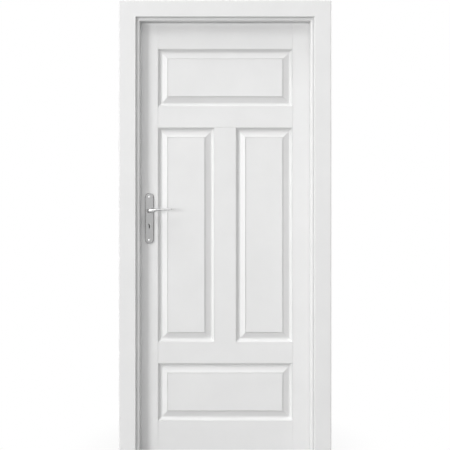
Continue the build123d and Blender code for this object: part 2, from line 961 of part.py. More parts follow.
def sleeve_nuts():
    """Countersunk sleeve nuts in the rear plate, which the bolts run into."""
    nuts = []
    for height in plate_screw_heights():
        nut = countersunk(
            (spindle_x, rear_face_y + plate_thickness, height),
            (0, -1, 0),
            plate_screw_head_radius,
            plate_screw_head_height,
            sleeve_radius,
            plate_thickness + sleeve_length,
        )
        nuts.append(nut)
    for bolt in plate_bolts():
        nuts = [nut - bolt for nut in nuts]
    return nuts


def lever_bush():
    """Bearing ring of the front plate, with a thin flange on its face."""
    seat = (spindle_x, leaf_front_y, spindle_height)
    ring = rod(seat, (0, -1, 0), bush_radius, plate_thickness)
    flange_y = leaf_front_y - plate_thickness
    ring += rod(
        (spindle_x, flange_y, spindle_height), (0, -1, 0), bush_flange_radius, bush_flange_thickness
    )
    bore = neck_radius + running_clearance
    bore_start = (spindle_x, leaf_front_y + cut_over, spindle_height)
    ring -= rod(bore_start, (0, -1, 0), bore, 2 * cut_over + plate_thickness)
    return ring


def lever():
    """Front lever: a round neck in the bush, a bent elbow, and a grip that thins out and rises."""
    centre_y = leaf_front_y - lever_projection + neck_radius
    bend_y = centre_y + lever_bend_radius
    neck = rod(
        (spindle_x, leaf_front_y, spindle_height), (0, -1, 0), neck_radius, leaf_front_y - bend_y
    )
    neck_end = Plane(origin=(spindle_x, bend_y, spindle_height), z_dir=(0, -1, 0))
    bend_axis = Axis((spindle_x + lever_bend_radius, bend_y, spindle_height), (0, 0, 1))
    elbow = revolve(neck_end * Circle(neck_radius), bend_axis, 90)
    stations = (
        (lever_bend_radius, 0, Circle(neck_radius)),
        (grip_start, grip_rise, Ellipse(grip_depth / 2, grip_height / 2)),
        (lever_length, tip_rise, Ellipse(tip_depth / 2, tip_height / 2)),
    )
    sections = [
        Plane(
            origin=(spindle_x + reach, centre_y, spindle_height + rise),
            x_dir=(0, -1, 0),
            z_dir=(1, 0, 0),
        )
        * section
        for reach, rise, section in stations
    ]
    grip = loft(sections, ruled=True)
    grip = fillet(grip.edges().group_by(Axis.X)[-1], grip_end_radius)
    square = spindle_side + 2 * spindle_fit
    socket = block(
        spindle_x - square / 2,
        spindle_x + square / 2,
        leaf_front_y + cut_over,
        leaf_front_y - spindle_reach,
        spindle_height - square / 2,
        spindle_height + square / 2,
    )
    return neck + elbow + grip - socket - grub_screw()


def grub_screw():
    """Set screw in the underside of the front lever's neck, down on the spindle."""
    y = leaf_front_y - plate_thickness - bush_flange_thickness - grub_screw_setting
    start_z = spindle_height - spindle_side / 2 - spindle_fit
    return rod((spindle_x, y, start_z), (0, 0, -1), grub_screw_radius, neck_radius - spindle_side / 2)


def spindle():
    reach = spindle_reach - spindle_fit
    return block(
        spindle_x - spindle_side / 2,
        spindle_x + spindle_side / 2,
        leaf_front_y - reach,
        rear_face_y + reach,
        spindle_height - spindle_side / 2,
        spindle_height + spindle_side / 2,
    )


def to_rear(piece):
    """The same piece on the rear face of the leaf."""
    return mirror(piece, Plane(origin=(0, leaf_mid_y, 0), z_dir=(0, 1, 0)))


# The whole object, piece by piece
nodes = {}
latch_jamb, hinge_jamb, head_jamb = frame_set(lining_section)
for pin in mitre_dowels(joint_clearance):
    latch_jamb -= pin
    hinge_jamb -= pin
    head_jamb -= pin
for cut in [strike_seat()] + keeps() + strike_screws():
    latch_jamb -= cut
nodes["frame_corner_dowels"] = mitre_dowels(0)

latch_stile = stile(-1)
hinge_stile = stile(1)
bottom_rail = rail(leaf_bottom_z, bottom_panel_z, False, True)
lower_cross_rail = rail(lower_rail_z, tall_panel_z, True, True)
upper_cross_rail = rail(upper_rail_z, top_panel_z, True, True)
top_rail = rail(top_rail_z, leaf_top_z, True, False)
middle_muntin = muntin() - lower_cross_rail - upper_cross_rail
rails = {
    "bottom_rail": bottom_rail,
    "lower_cross_rail": lower_cross_rail,
    "upper_cross_rail": upper_cross_rail,
    "top_rail": top_rail,
}
for name in rails:
    rails[name] = rails[name] - latch_stile - hinge_stile
for dowel in leaf_dowels(dowel_clearance):
    latch_stile -= dowel
    hinge_stile -= dowel
    middle_muntin -= dowel
    for name in rails:
        rails[name] -= dowel
nodes["leaf_dowels"] = leaf_dowels(0)

frame_screws = []
leaf_screws = []
for place, height in hinge_heights.items():
    frame_spans, leaf_spans = knuckle_spans(height)
    nodes[f"{place}_hinge_frame_plate"] = hinge_plate(height, 1, frame_spans, pin_radius + pin_fit)
    nodes[f"{place}_hinge_leaf_plate"] = hinge_plate(
        height, -1, leaf_spans, pin_radius + running_clearance
    )
    nodes[f"{place}_hinge_pin"] = hinge_pin(height)
    frame_screws += plate_screws_at(height, 1)
    leaf_screws += plate_screws_at(height, -1)
    hinge_jamb -= hinge_seat(height, 1)
    hinge_stile -= hinge_seat(height, -1)
for screw in frame_screws:
    hinge_jamb -= screw
for screw in leaf_screws:
    hinge_stile -= screw
nodes["hinge_frame_screws"] = frame_screws
nodes["hinge_leaf_screws"] = leaf_screws

for cut in stile_cuts():
    latch_stile -= cut

nodes["latch_jamb"] = latch_jamb
nodes["hinge_jamb"] = hinge_jamb
nodes["head_jamb"] = head_jamb
for label, section in (
    ("stop_strip", stop_section),
    ("front_casing", front_casing_section),
    ("rear_casing", rear_casing_section),
    ("seal", seal_section),
):
    latch_side, hinge_side, head = frame_set(section)
    nodes[f"{label}_latch_side"] = latch_side
    nodes[f"{label}_hinge_side"] = hinge_side
    nodes[f"{label}_head"] = head

nodes["latch_stile"] = latch_stile
nodes["hinge_stile"] = hinge_stile
nodes["middle_muntin"] = middle_muntin
nodes.update(rails)
muntin_half = muntin_face / 2
nodes["top_panel"] = raised_panel(-sight_half, sight_half, top_panel_z, top_rail_z)
nodes["latch_side_panel"] = raised_panel(-sight_half, -muntin_half, tall_panel_z, upper_rail_z)
nodes["hinge_side_panel"] = raised_panel(muntin_half, sight_half, tall_panel_z, upper_rail_z)
nodes["bottom_panel"] = raised_panel(-sight_half, sight_half, bottom_panel_z, lower_rail_z)

nodes["strike_plate"] = strike_plate()
nodes["strike_screws"] = strike_screws()
nodes["lock_forend"] = forend()
nodes["forend_screws"] = forend_screws()
nodes["lock_case"] = lock_case()
nodes["lock_cover"] = lock_cover()
nodes["lock_follower"] = follower()
nodes["latch_bolt"] = latch_bolt()
nodes["dead_bolt"] = dead_bolt()
nodes["latch_spring"] = latch_spring()
nodes["follower_spring"] = follower_spring()

front_plate = back_plate()
nodes["front_back_plate"] = front_plate
rear_plate = to_rear(front_plate)
for nut in sleeve_nuts():
    rear_plate -= nut
nodes["rear_back_plate"] = rear_plate
nodes["plate_bolts"] = plate_bolts()
nodes["sleeve_nuts"] = sleeve_nuts()
nodes["front_lever_bush"] = lever_bush()
nodes["rear_lever_bush"] = to_rear(lever_bush())
nodes["front_lever"] = lever()
nodes["rear_lever"] = to_rear(lever())
nodes["lever_spindle"] = spindle()
nodes["lever_grub_screws"] = [grub_screw(), to_rear(grub_screw())]

os.makedirs("parts", exist_ok=True)
for name, shape in nodes.items():
    solids = shape if isinstance(shape, list) else [shape]
    pieces = [solid for item in solids for solid in item.solids()]
    export_step(pieces[0] if len(pieces) == 1 else Compound(children=pieces), f"parts/{name}.step")
print(len(nodes), "pieces written")
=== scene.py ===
import bpy
import numpy as np
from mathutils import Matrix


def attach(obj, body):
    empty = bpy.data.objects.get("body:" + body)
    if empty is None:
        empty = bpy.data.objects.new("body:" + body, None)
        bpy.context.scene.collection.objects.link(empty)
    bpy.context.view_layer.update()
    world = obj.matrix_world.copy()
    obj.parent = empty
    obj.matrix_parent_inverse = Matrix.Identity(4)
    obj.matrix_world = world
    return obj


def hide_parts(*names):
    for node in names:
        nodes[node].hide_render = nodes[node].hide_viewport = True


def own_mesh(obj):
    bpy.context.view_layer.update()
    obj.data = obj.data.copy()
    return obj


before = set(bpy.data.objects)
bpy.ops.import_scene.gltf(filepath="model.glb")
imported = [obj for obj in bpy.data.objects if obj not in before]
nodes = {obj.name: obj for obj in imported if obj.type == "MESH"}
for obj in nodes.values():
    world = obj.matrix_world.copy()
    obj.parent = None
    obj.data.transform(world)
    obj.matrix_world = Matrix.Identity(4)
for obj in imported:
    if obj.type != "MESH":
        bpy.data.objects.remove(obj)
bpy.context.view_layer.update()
mm = 0.001

# ---------------------------------------------------------------------------
# Lining boards and stop strips
# The fixed part of the doorway: three mitred boards of fibreboard with a strip
# glued on to stop the leaf, sprayed with white satin lacquer after assembly.
# ---------------------------------------------------------------------------
noise_low, noise_high = 0.3, 0.7


def link(graph, source, output, target, socket):
    """Joins one node's output to another node's input."""
    graph.links.new(source.outputs[output], target.inputs[socket])


def new_finish(name):
    """An empty node material with its surface shader, and the Object coordinates it reads."""
    finish = bpy.data.materials.new(name)
    finish.use_nodes = True
    graph = finish.node_tree
    shader = graph.nodes["Principled BSDF"]
    place = graph.nodes.new("ShaderNodeTexCoord")
    return finish, graph, shader, place


def noise(graph, place, stretch, scale, detail, roughness):
    """Cloudy noise on Object coordinates, stretched along the axes by a Mapping node."""
    turn = graph.nodes.new("ShaderNodeMapping")
    turn.inputs["Scale"].default_value = stretch
    link(graph, place, "Object", turn, "Vector")
    cloud = graph.nodes.new("ShaderNodeTexNoise")
    cloud.inputs["Scale"].default_value = scale
    cloud.inputs["Detail"].default_value = detail
    cloud.inputs["Roughness"].default_value = roughness
    link(graph, turn, "Vector", cloud, "Vector")
    return cloud


def tint(graph, shader, source, dark, light):
    """Colours the surface by a noise, between two shades."""
    ramp = graph.nodes.new("ShaderNodeValToRGB")
    low_end, high_end = ramp.color_ramp.elements
    low_end.position, low_end.color = noise_low, (*dark, 1)
    high_end.position, high_end.color = noise_high, (*light, 1)
    link(graph, source, 0, ramp, "Fac")
    link(graph, ramp, "Color", shader, "Base Color")


def dull(graph, shader, source, low, high):
    """Varies the surface's roughness by a noise, between two values."""
    spread = graph.nodes.new("ShaderNodeMapRange")
    spread.inputs["From Min"].default_value = noise_low
    spread.inputs["From Max"].default_value = noise_high
    spread.inputs["To Min"].default_value = low
    spread.inputs["To Max"].default_value = high
    link(graph, source, 0, spread, "Value")
    link(graph, spread, "Result", shader, "Roughness")


def relief(graph, shader, source, height, under=None):
    """Adds a noise to the surface as fine relief of that height in metres, on top of an earlier
    one."""
    bump = graph.nodes.new("ShaderNodeBump")
    bump.inputs["Distance"].default_value = height
    bump.inputs["Strength"].default_value = 1.0
    link(graph, source, 0, bump, "Height")
    if under is not None:
        link(graph, under, "Normal", bump, "Normal")
    link(graph, bump, "Normal", shader, "Normal")
    return bump


def white_lacquer(name, grain):
    """Sprayed satin lacquer: faint cloudy shade, a fine orange-peel skin, and the grain of the
    board below."""
    finish, graph, shader, place = new_finish(name)
    cloud = noise(graph, place, (1, 1, 1), 5.0, 4.0, 0.55)
    tint(graph, shader, cloud, (0.735, 0.735, 0.733), (0.765, 0.765, 0.763))
    fine = noise(graph, place, (1, 1, 1), 420.0, 2.0, 0.5)
    dull(graph, shader, fine, 0.38, 0.46)
    skin_relief = relief(graph, shader, fine, 0.00003)
    fibre = noise(graph, place, grain, 60.0, 5.0, 0.6)
    relief(graph, shader, fibre, 0.00004, under=skin_relief)
    shader.inputs["IOR"].default_value = 1.48
    return finish


def wear(finish, *names):
    """Puts a finish on every material slot of the named parts."""
    for name in names:
        for slot in nodes[name].material_slots:
            slot.material = finish


upright_lacquer = white_lacquer("white_lacquer_upright", (8.0, 8.0, 0.5))
level_lacquer = white_lacquer("white_lacquer_level", (0.5, 8.0, 8.0))

wear(upright_lacquer, "latch_jamb", "hinge_jamb")
wear(upright_lacquer, "stop_strip_latch_side", "stop_strip_hinge_side")
wear(level_lacquer, "head_jamb", "stop_strip_head")

# ---------------------------------------------------------------------------
# Casings
# Flat boards round the opening on both faces of the wall, mitred at the corners.
# Their tongues slide into the lining, so the frame fits the wall's thickness.
# ---------------------------------------------------------------------------
for face in ("front", "rear"):
    wear(upright_lacquer, f"{face}_casing_latch_side", f"{face}_casing_hinge_side")
    wear(level_lacquer, f"{face}_casing_head")

# ---------------------------------------------------------------------------
# Corner dowels and leaf dowels
# Plain pins of bare beech, glued into the mitres of the lining and into the joints
# of the leaf.
# ---------------------------------------------------------------------------


def beech(name):
    """Pale beech: brown flecks drawn out along the grain, and a dull, slightly rough surface."""
    finish, graph, shader, place = new_finish(name)
    fleck = noise(graph, place, (0.4, 6.0, 6.0), 260.0, 5.0, 0.65)
    tint(graph, shader, fleck, (0.42, 0.25, 0.13), (0.64, 0.44, 0.27))
    dull(graph, shader, fleck, 0.55, 0.75)
    relief(graph, shader, fleck, 0.0001)
    return finish


wear(beech("bare_beech"), "frame_corner_dowels", "leaf_dowels")

# ---------------------------------------------------------------------------
# Sealing strips
# Soft grey rubber, extruded in one section and seated in the grooves of the stop
# strips, where the leaf closes on it.
# ---------------------------------------------------------------------------


def soft_rubber(name):
    """Grey extruded rubber: dull, with fine drag lines along the strip and a little bloom."""
    finish, graph, shader, place = new_finish(name)
    bloom = noise(graph, place, (1, 1, 1), 40.0, 4.0, 0.6)
    tint(graph, shader, bloom, (0.30, 0.30, 0.30), (0.40, 0.40, 0.39))
    drag = noise(graph, place, (30, 30, 0.6), 90.0, 3.0, 0.6)
    dull(graph, shader, drag, 0.6, 0.78)
    relief(graph, shader, drag, 0.00006)
    return finish


wear(soft_rubber("grey_rubber"), "seal_latch_side", "seal_hinge_side", "seal_head")

# ---------------------------------------------------------------------------
# Stiles
# The two full-height members of the leaf, with a cove moulding and the panel groove
# worked on the inner edge. The arrises are sanded off before the lacquer goes on.
# ---------------------------------------------------------------------------
leaf_front, leaf_rear = -18.5, 21.5
leaf_middle, half_thick = (leaf_rear + leaf_front) / 2, (leaf_rear - leaf_front) / 2
leaf_half, moulding_line = 412.0, 321.5
leaf_bottom, leaf_top = 6.0, 2054.0
moulding_width, moulding_foot, moulding_depth, quirk_depth = 18.0, 4.0, 14.4, 3.4
groove_half, groove_depth = 4.2, 10.0
sharp_angle = np.radians(14)


def eased(points, steps=8):
    """A closed outline of (a, b, radius) corners, as points. Each corner with a radius becomes an
    arc: centre plus the first tangent point's offset turned step by step into the second's."""
    no_length, no_sweep = 1e-9, 1e-6
    corners = np.asarray(points, float)
    place, radius = corners[:, :2], corners[:, 2:]
    back = np.roll(place, 1, 0) - place
    onward = np.roll(place, -1, 0) - place
    back /= np.linalg.norm(back, axis=1, keepdims=True)
    onward /= np.linalg.norm(onward, axis=1, keepdims=True)
    half = np.arccos(np.clip((back * onward).sum(1, keepdims=True), -1, 1)) / 2
    bisector = back + onward
    length = np.linalg.norm(bisector, axis=1, keepdims=True)
    bisector /= np.where(length < no_length, 1, length)
    centre = place + bisector * radius / np.sin(half)
    start = place + back * radius / np.tan(half) - centre
    end = place + onward * radius / np.tan(half) - centre
    sweep = np.pi - 2 * half
    share = np.linspace(0, 1, steps)[None, :, None]
    sine = np.where(sweep < no_sweep, 1, np.sin(sweep))[:, None]
    first = np.sin((1 - share) * sweep[:, None]) / sine
    second = np.sin(share * sweep[:, None]) / sine
    arcs = centre[:, None] + first * start[:, None] + second * end[:, None]
    keep = (radius > 0) | (np.arange(steps) == 0)[None]
    return arcs[keep]


def moulded_edge(line, inward, sink=0.0):
    """A moulded edge as (across, depth, radius) corners from the rear face to the front: eased
    arris, a narrow quirk, a cove that falls as a power of the run, steep at its crest and level at
    its foot, and the groove that holds the panel. The foot lies lower by the sink, so that crossing
    feet differ."""
    arris_round, crest_round, lip_round, fine_round = 0.6, 0.25, 0.5, 0.2
    quirk_near, quirk_far, quirk_top = 0.2, 1.5, 1.7
    crest_in, crest_drop, cove_power, cove_points = 2.3, 2.2, 1.6, 17
    crest, quirk_floor = half_thick - crest_drop, half_thick - quirk_depth
    share = np.linspace(0, 1, cove_points)
    run = crest_in + (moulding_width - moulding_foot - crest_in) * share
    rise = half_thick - moulding_depth - sink
    fall = (crest - rise) * (1 - share) ** cove_power
    arris = [(0, half_thick, arris_round)]
    quirk = [
        (quirk_near, quirk_floor, 0),
        (quirk_far, quirk_floor, 0),
        (quirk_top, crest, fine_round),
    ]
    cove = np.stack([run, rise + fall, np.where(share == 0, crest_round, 0)], axis=1)
    lip = [
        (moulding_width, rise, lip_round),
        (moulding_width, groove_half, fine_round),
        (moulding_width - groove_depth, groove_half, fine_round),
    ]
    rear = np.concatenate([arris, quirk, cove, lip])
    rear = rear * (inward, 1, 1) + (line, 0, 0)
    front = rear[::-1] * (1, -1, 1)
    return np.concatenate([rear, front]) + (0, leaf_middle, 0)


def plain_edge(line):
    """A square edge with eased arrises, from the rear face to the front."""
    edge_round = 1.0
    return np.array([(line, leaf_rear, edge_round), (line, leaf_front, edge_round)])


def skinned(name, rings, finish, slot, body, *stands_for, passage=None, lining=None):
    """Lays rings of points (copies, stations, points round, xyz) into closed meshes: a quad between
    neighbours on neighbouring rings and a cap on each end, turned outwards by the sign of the
    volume. A passage (step, one quad, opposite quad) takes two quads out and walls a way through
    between them, in the lining's finish."""
    rings = rings.reshape(-1, *rings.shape[-3:])
    index = np.arange(rings[..., 0].size).reshape(rings.shape[:3])
    ahead = np.roll(index, -1, axis=2)
    quads = np.stack([index[:, :-1], ahead[:, :-1], ahead[:, 1:], index[:, 1:]], axis=-1)
    walls = np.zeros((0, 4), int)
    keep = np.ones(quads.shape[:3], bool)
    if passage is not None:
        step, near, far = passage
        mouth, outlet = quads[0, step, near], quads[0, step, far]
        facing = outlet[[0, 3, 2, 1]], outlet[[1, 0, 3, 2]]
        walls = np.stack([mouth, np.roll(mouth, -1), *facing], axis=1)
        keep[0, step, [near, far]] = False
    quads = np.concatenate([quads[keep], walls])
    points = rings.reshape(-1, 3)
    corner = points[quads] - points.mean(0)
    volume = (np.cross(corner[:, 0], corner[:, 1]) * corner[:, 2]).sum()
    volume += (np.cross(corner[:, 0], corner[:, 2]) * corner[:, 3]).sum()
    caps = np.concatenate([index[:, 0, ::-1], index[:, -1]])
    if volume < 0:
        quads, caps = quads[:, ::-1], caps[:, ::-1]
    mesh = bpy.data.meshes.new(name)
    mesh.from_pydata((points * mm).tolist(), [], quads.tolist() + caps.tolist())
    mesh.shade_smooth()
    mesh.set_sharp_from_angle(angle=sharp_angle)
    mesh.materials.append(finish)
    if lining is not None:
        mesh.materials.append(lining)
        is_wall = np.zeros(len(mesh.polygons), np.int32)
        is_wall[len(quads) - len(walls):len(quads)] = 1
        mesh.polygons.foreach_set("material_index", is_wall)
    piece = bpy.data.objects.new(name, mesh)
    bpy.context.scene.collection.objects.link(piece)
    shading = piece.modifiers.new("even_shading", "WEIGHTED_NORMAL")
    shading.mode = "FACE_AREA"
    shading.weight = 90
    shading.keep_sharp = True
    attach(piece, body)
    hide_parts(*stands_for)
    return piece


def run_up(outline, *heights):
    """Rings of an upright member: its outline (x, y) at each height, a number or one per outline
    point."""
    levels = np.stack([np.broadcast_to(height, len(outline)) for height in heights])
    across = np.broadcast_to(outline, (len(heights), *outline.shape))
    return np.concatenate([across, levels[..., None]], axis=2)


plate_proud = 0.15
stile_edge = leaf_half - plate_proud
hinge_edges = [plain_edge(stile_edge), moulded_edge(moulding_line, -1)[::-1]]
hinge_outline = eased(np.concatenate(hinge_edges))
skinned(
    "hinge_stile_lacquered",
    run_up(hinge_outline, leaf_bottom, leaf_top),
    upright_lacquer,
    "painted_wood",
    "leaf",
    "hinge_stile",
)

# The key's way goes through the latch stile from face to face, between two heights. Its walls are
# bare board, coloured far darker than bare board as painted shade inside the narrow way.


def fibre_with_painted_shade(name):
    """Bare brown board in a cut, darkened well below the board's own colour as painted shade of a
    deep cut: mottled by the fibres and dull, with a rough relief.
    """
    finish, graph, shader, place = new_finish(name)
    fibres = noise(graph, place, (1, 1, 1), 900.0, 4.0, 0.6)
    # Painted shade: both shades are far darker than bare board, so cut walls read as shadowed.
    tint(graph, shader, fibres, (0.045, 0.035, 0.026), (0.085, 0.066, 0.05))
    dull(graph, shader, fibres, 0.8, 0.95)
    relief(graph, shader, fibres, 0.0002)
    return finish


def nearest(outline, x, y):
    """The number of the outline's point that lies next to a place."""
    return int(np.argmin(np.hypot(outline[:, 0] - x, outline[:, 1] - y)))


spindle_x, spindle_height = -362.0, 1147.0
key_height, key_way_wide, key_way_tall = 1075.0, 10.0, 26.0
way_left, way_right = spindle_x - key_way_wide / 2, spindle_x + key_way_wide / 2
way_low, way_high = key_height - key_way_tall / 2, key_height + key_way_tall / 2
way_step = 1
latch_outline = eased(
    np.concatenate(
        [
            plain_edge(-stile_edge),
            [(way_left, leaf_front, 0), (way_right, leaf_front, 0)],
            moulded_edge(-moulding_line, 1)[::-1],
            [(way_right, leaf_rear, 0), (way_left, leaf_rear, 0)],
        ]
    )
)
front_mouth = nearest(latch_outline, way_left, leaf_front)
rear_mouth = nearest(latch_outline, way_right, leaf_rear)
latch_stile = skinned(
    "latch_stile_lacquered",
    run_up(latch_outline, leaf_bottom, way_low, way_high, leaf_top),
    upright_lacquer,
    "painted_wood",
    "leaf",
    "latch_stile",
    passage=(way_step, front_mouth, rear_mouth),
    # The key way's walls take the dark fibre colour, which is partly painted shade.
    lining=fibre_with_painted_shade("bare_fibre_painted_shade"),
)

# The lock's mortise and the spindle's way are cut out of the timber, behind forend and plates.


def cut_out(piece, outline, front, rear):
    """Takes a prism out of a piece: an outline (x, z), anticlockwise as seen from the front, that
    reaches from one depth to another. The cut walls get the piece's second finish."""
    count = len(outline)
    points = np.concatenate([np.insert(outline, 1, depth, axis=1) for depth in (front, rear)])
    around = np.arange(count)
    ahead = np.roll(around, -1)
    sides = np.stack([ahead, around, around + count, ahead + count], axis=1)
    ends = [around.tolist(), (around[::-1] + count).tolist()]
    shape = bpy.data.meshes.new("cutter")
    shape.from_pydata((points * mm).tolist(), [], sides.tolist() + ends)
    for finish in piece.data.materials:
        shape.materials.append(finish)
    shape.polygons.foreach_set("material_index", np.ones(len(shape.polygons), np.int32))
    cutter = bpy.data.objects.new("cutter", shape)
    bpy.context.scene.collection.objects.link(cutter)
    cut = piece.modifiers.new("cut", "BOOLEAN")
    cut.operation, cut.solver, cut.object = "DIFFERENCE", "EXACT", cutter
    shading = piece.modifiers["even_shading"]
    shading.show_viewport = False
    evaluated = piece.evaluated_get(bpy.context.evaluated_depsgraph_get())
    piece.data = bpy.data.meshes.new_from_object(evaluated)
    shading.show_viewport = True
    piece.modifiers.remove(cut)
    bpy.data.objects.remove(cutter)
    piece.data.set_sharp_from_angle(angle=sharp_angle)


past_edge, spindle_way, round_steps = 1.0, 10.0, 48
lock_start, lock_end = -leaf_half - past_edge, -336.5
lock_front, lock_rear, lock_low, lock_high = -7.0, 10.0, 1027.5, 1193.5
mortise = [
    (lock_start, lock_low),
    (lock_end, lock_low),
    (lock_end, lock_high),
    (lock_start, lock_high),
]
# The cut walls take the dark fibre colour as well, which is partly painted shade.
cut_out(latch_stile, np.array(mortise), lock_front, lock_rear)
turn = np.linspace(0, 2 * np.pi, round_steps, endpoint=False)
circle = np.stack([np.cos(turn), np.sin(turn)], axis=1)
spindle_round = circle * spindle_way + (spindle_x, spindle_height)
cut_out(latch_stile, spindle_round, leaf_front - past_edge, leaf_rear + past_edge)

# ---------------------------------------------------------------------------
# Rails
# Four level members between the stiles, dowelled and glued. Their mouldings meet the
# stiles' in a mitre, and the joint shows as a hairline in the lacquer.
# ---------------------------------------------------------------------------
panel_heights = {"bottom": (145.0, 419.5), "tall": (520.0, 1544.5), "top": (1645.0, 1919.5)}
joint_groove, groove_wall, rail_sink = 1.2, 0.1, 0.04


def with_joint_ends(rings, along):
    """Draws the outline in over a short length at each end, so that a joint shows as a fine groove:
    the depth at the ends shrinks by the groove, and steps back to full just past it."""
    middle = (rings[:1] + rings[-1:]) / 2
    inward = np.sign(middle[..., along] - rings[:1, :, along])
    step = np.array([0, joint_groove, joint_groove + groove_wall])[:, None]
    near = np.repeat(rings[:1], 3, axis=0)
    far = np.repeat(rings[-1:], 3, axis=0)[::-1]
    near[..., along] += step * inward
    far[..., along] -= step[::-1] * inward
    thinned = 1 - joint_groove / half_thick
    for end, drawn in ((near, slice(0, 2)), (far, slice(1, 3))):
        end[drawn, :, 1] = leaf_middle + (end[drawn, :, 1] - leaf_middle) * thinned
    return np.concatenate([near, far])


def run_across(outline, reach):
    """Rings of a level member: its outline (z, y) at both ends, each point as far out as its
    reach."""
    ends = np.stack([-reach, reach])
    height = np.broadcast_to(outline[:, 0], ends.shape)
    depth = np.broadcast_to(outline[:, 1], ends.shape)
    return np.stack([ends, depth, height], axis=2)


rails = {
    "bottom_rail": (leaf_bottom, panel_heights["bottom"][0], False, True),
    "lower_cross_rail": (panel_heights["bottom"][1], panel_heights["tall"][0], True, True),
    "upper_cross_rail": (panel_heights["tall"][1], panel_heights["top"][0], True, True),
    "top_rail": (panel_heights["top"][1], leaf_top, True, False),
}
for label, (low, high, moulded_low, moulded_high) in rails.items():
    low_edge = moulded_edge(low, -1, rail_sink) if moulded_low else plain_edge(low)
    high_edge = moulded_edge(high, 1, rail_sink) if moulded_high else plain_edge(high)
    outline = eased(np.concatenate([low_edge, high_edge[::-1]]))
    past_line = np.maximum(0, np.maximum(low - outline[:, 0], outline[:, 0] - high))
    rings = with_joint_ends(run_across(outline, moulding_line - past_line), 0)
    skinned(label + "_lacquered", rings, level_lacquer, "painted_wood", "leaf", label)

# ---------------------------------------------------------------------------
# Muntin
# The middle upright between the two tall panels, moulded on both edges and mitred
# into the mouldings of the cross rails.
# ---------------------------------------------------------------------------
muntin_half, muntin_sink = 50.75, 0.08
left_edge, right_edge = (
    moulded_edge(side * muntin_half, side, muntin_sink) for side in (-1, 1)
)
outline = eased(np.concatenate([left_edge, right_edge[::-1]]))
past_line = np.maximum(0, np.abs(outline[:, 0]) - muntin_half)
low, high = panel_heights["tall"]
rings = with_joint_ends(run_up(outline, low + past_line, high - past_line), 2)
skinned(
    "middle_muntin_lacquered",
    rings,
    upright_lacquer,
    "painted_wood",
    "leaf",
    "middle_muntin",
)

# ---------------------------------------------------------------------------
# Raised and fielded panels
# Solid panels held loose in the grooves: a thin tongue, a long bevel on all four
# sides, and a cut line and small step up to the flat field. Both faces are alike.
# ---------------------------------------------------------------------------
bevel_width, bevel_foot, field_drop, field_step = 30.0, 15.2, 0.8, 2.4
line_wide, line_deep, line_slope, step_slope = 2.6, 4.5, 0.2, 0.25
tongue_reach, tongue_half, panel_gap, field_margin = 10.0, 4.0, 0.2, 20.0


def fielded(x0, x1, z0, z1):
    """Rings of a raised panel: rectangles drawn in from the moulding lines, each with its depth,
    from the front field's edge down the step and its cut line, the bevel, round the tongue and up
    to the rear field."""
    field_round, line_round, foot_round, seat_round, tongue_round = 0.4, 0.15, 0.3, 0.2, 0.4
    foot = moulding_width + panel_gap
    shoulder = foot + bevel_width
    field = half_thick - field_drop
    bevel_top = field - field_step
    line_floor = bevel_top - line_deep
    front = np.array(
        [
            (shoulder + field_margin, field, 0),
            (shoulder, field, field_round),
            (shoulder - step_slope, line_floor, 0),
            (shoulder - line_wide + line_slope, line_floor, 0),
            (shoulder - line_wide, bevel_top, line_round),
            (foot, half_thick - bevel_foot, foot_round),
            (foot, tongue_half, seat_round),
            (tongue_reach, tongue_half, tongue_round),
        ]
    )
    section = eased(np.concatenate([front, front[::-1] * (1, -1, 1)]))[1:-1]
    draw, depth = section[:, :1], section[:, 1:]
    xs = np.concatenate([x0 + draw, x1 - draw, x1 - draw, x0 + draw], axis=1)
    zs = np.concatenate([z0 + draw, z0 + draw, z1 - draw, z1 - draw], axis=1)
    ys = np.broadcast_to(leaf_middle - depth, xs.shape)
    return np.stack([xs, ys, zs], axis=2)


panels = {
    "top_panel": (-moulding_line, moulding_line, *panel_heights["top"]),
    "latch_side_panel": (-moulding_line, -muntin_half, *panel_heights["tall"]),
    "hinge_side_panel": (muntin_half, moulding_line, *panel_heights["tall"]),
    "bottom_panel": (-moulding_line, moulding_line, *panel_heights["bottom"]),
}
for label, lines in panels.items():
    rings = fielded(*lines)
    skinned(label + "_lacquered", rings, upright_lacquer, "painted_wood", "leaf", label)

# ---------------------------------------------------------------------------
# Hinges and strike plate
# Three butt hinges of zinc-plated steel: plates let into the lining and the leaf's
# edge, rolled knuckles, and a loose pin with a button head. The strike plate matches.
# ---------------------------------------------------------------------------


def brushed_metal(name, dark, light, brushed, low, high):
    """Plated, ground or anodised metal: fine scratches along one direction vary the shade, gloss
    and relief."""
    finish, graph, shader, place = new_finish(name)
    scratch = noise(graph, place, brushed, 300.0, 4.0, 0.6)
    tint(graph, shader, scratch, dark, light)
    dull(graph, shader, scratch, low, high)
    relief(graph, shader, scratch, 0.00001)
    shader.inputs["Metallic"].default_value = 1.0
    return finish


hinge_zinc = brushed_metal(
    "zinc_plate", (0.46, 0.46, 0.46), (0.56, 0.56, 0.55), (4, 4, 0.15), 0.28, 0.4
)
for level in ("lower", "middle", "upper"):
    for item in ("frame_plate", "leaf_plate", "pin"):
        wear(hinge_zinc, f"{level}_hinge_{item}")
wear(hinge_zinc, "strike_plate")


def smooth_step(value, low, high):
    """Rises from 0 at low to 1 at high, level at both ends."""
    share = np.clip((value - low) / (high - low), 0, 1)
    return share * share * (3 - 2 * share)


def soft_bar(along, across, reach, half):
    """One inside a bar of that reach and half width, zero outside, with soft edges: a product of
    smooth steps along and across it."""
    end_soft, side_soft = 0.25, 0.2
    in_length = smooth_step(reach - np.abs(along), -end_soft, end_soft)
    return in_length * smooth_step(half - np.abs(across), -side_soft, side_soft)


